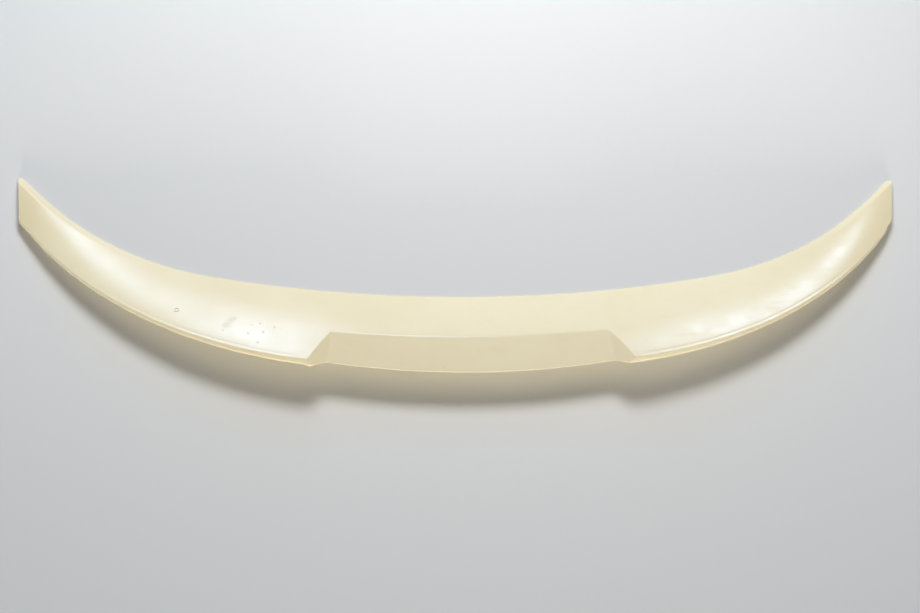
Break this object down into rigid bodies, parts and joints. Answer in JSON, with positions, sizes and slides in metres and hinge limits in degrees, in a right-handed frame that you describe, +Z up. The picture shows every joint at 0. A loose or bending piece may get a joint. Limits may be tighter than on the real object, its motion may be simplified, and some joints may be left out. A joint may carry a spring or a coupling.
{
  "type": "car rear spoiler",
  "caption": "Crescent-shaped moulded lip spoiler for a car's boot lid, with a crowned top, a raised rear lip notched in the middle and a hollow underside.",
  "frame": {"origin": "centre of the bounding box, on the plane of the bonding land that rests on the boot lid", "axes": "+X across the car, +Y to the front of the car, +Z up"},
  "size_m": [1.1994, 0.3097, 0.0481],
  "materials": {
    "gel_coat": "glossy bare cream gel coat"
  },
  "bodies": {
    "root": {"spoiler_shell": "gel_coat"}
  },
  "joints": []
}
